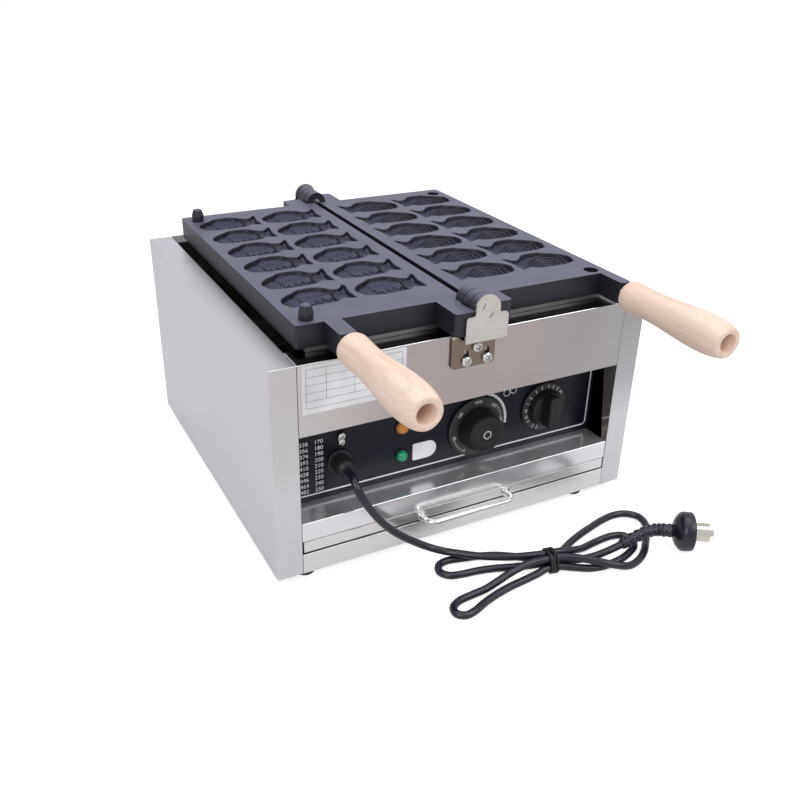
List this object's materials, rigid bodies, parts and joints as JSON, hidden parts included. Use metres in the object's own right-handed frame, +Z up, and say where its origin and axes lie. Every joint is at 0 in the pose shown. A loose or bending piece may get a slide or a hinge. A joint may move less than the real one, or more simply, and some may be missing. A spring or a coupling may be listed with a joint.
{
  "type": "taiyaki maker",
  "caption": "Counter-top electric fish-cake maker with two hinged cast mould plates, wooden grips, stainless casing, control recess, drip tray and bundled mains lead",
  "frame": {"origin": "on the counter top, under the middle of the standing object's box, measured over casing, hinge brackets and wooden grips, without the mains lead", "axes": "+X to the right of someone facing the controls, +Y from the controls to the back, +Z up"},
  "size_m": [0.3886, 0.5146, 0.2491],
  "materials": {
    "stainless_brushed": "brushed",
    "stainless_polished": "polished",
    "plate_coating": "satin non-stick coating on cast aluminium",
    "beech_wood": "fine sanded, unvarnished",
    "plated_steel": "zinc plated",
    "chrome_bar": "polished",
    "fascia_black": "satin",
    "plastic_black": "satin",
    "lamp_amber": "glossy lens",
    "lamp_green": "glossy lens",
    "rubber_black": "matte",
    "element_steel": "heat darkened",
    "cord_pvc": "satin sheath",
    "plug_pvc": "satin",
    "plug_pins": "plated blades"
  },
  "bodies": {
    "casing": {"side_panel_left": "stainless_brushed", "side_panel_right": "stainless_brushed", "front_panel": "stainless_brushed", "back_panel": "stainless_brushed", "base_plate": "stainless_brushed", "control_shelf": "stainless_polished", "bottom_rail": "stainless_brushed", "control_panel": "fascia_black", "heat_shield": "stainless_brushed", "foot_front_left": "rubber_black", "foot_front_right": "rubber_black", "foot_rear_left": "rubber_black", "foot_rear_right": "rubber_black", "tray_runner_left": "stainless_brushed", "tray_runner_right": "stainless_brushed", "element_rail_front": "stainless_brushed", "element_rail_rear": "stainless_brushed", "heating_element_left": "element_steel", "heating_element_right": "element_steel", "thermostat_body": "plastic_black", "timer_body": "plastic_black", "thermostat_bulb": "plated_steel", "terminal_block": "plastic_black", "lamp_amber": "lamp_amber", "lamp_green": "lamp_green", "ground_terminal": "plated_steel", "cable_gland": "plastic_black", "hinge_bracket_front": "stainless_brushed", "hinge_bracket_rear": "stainless_brushed", "hinge_pin_front": "plated_steel", "hinge_pin_rear": "plated_steel", "plate_rest_front": "stainless_brushed", "plate_rest_rear": "stainless_brushed", "bracket_screw_front_1": "plated_steel", "bracket_screw_front_2": "plated_steel", "bracket_screw_front_3": "plated_steel", "bracket_screw_rear_1": "plated_steel", "bracket_screw_rear_2": "plated_steel", "bracket_screw_rear_3": "plated_steel", "power_lead": "cord_pvc", "cord_hank": "cord_pvc", "cord_tie": "cord_pvc", "plug_body": "plug_pvc", "plug_pins": "plug_pins", "plug_boot": "plug_pvc"},
    "left_plate": {"left_plate": "plate_coating", "locating_peg_front": "plate_coating", "locating_peg_rear": "plate_coating", "left_grip": "beech_wood", "left_handle_nut": "plated_steel", "left_handle_bolt": "plated_steel"},
    "right_plate": {"right_plate": "plate_coating", "right_grip": "beech_wood", "right_handle_nut": "plated_steel", "right_handle_bolt": "plated_steel"},
    "drip_tray": {"drip_tray": "stainless_brushed", "tray_handle": "chrome_bar"},
    "thermostat_knob": {"thermostat_knob": "plastic_black"},
    "timer_knob": {"timer_knob": "plastic_black"}
  },
  "joints": [
    {"name": "left_plate_hinge", "type": "hinge", "parent": "casing", "child": "left_plate", "pos_m": [0, 0.0593, 0.23565], "axis": [0, 1, 0], "range_deg": [0, 180]},
    {"name": "right_plate_hinge", "type": "hinge", "parent": "casing", "child": "right_plate", "pos_m": [0, 0.0593, 0.23565], "axis": [0, -1, 0], "range_deg": [0, 180]},
    {"name": "drip_tray_slide", "type": "slide", "parent": "casing", "child": "drip_tray", "axis": [0, -1, 0], "range_m": [0, 0.2], "deforming": ["power_lead"]},
    {"name": "thermostat_turn", "type": "hinge", "parent": "casing", "child": "thermostat_knob", "pos_m": [0.026, -0.1027, 0.098], "axis": [0, 1, 0], "range_deg": [0, 300]},
    {"name": "timer_turn", "type": "hinge", "parent": "casing", "child": "timer_knob", "pos_m": [0.103, -0.1027, 0.102], "axis": [0, 1, 0], "range_deg": [0, 300]}
  ]
}
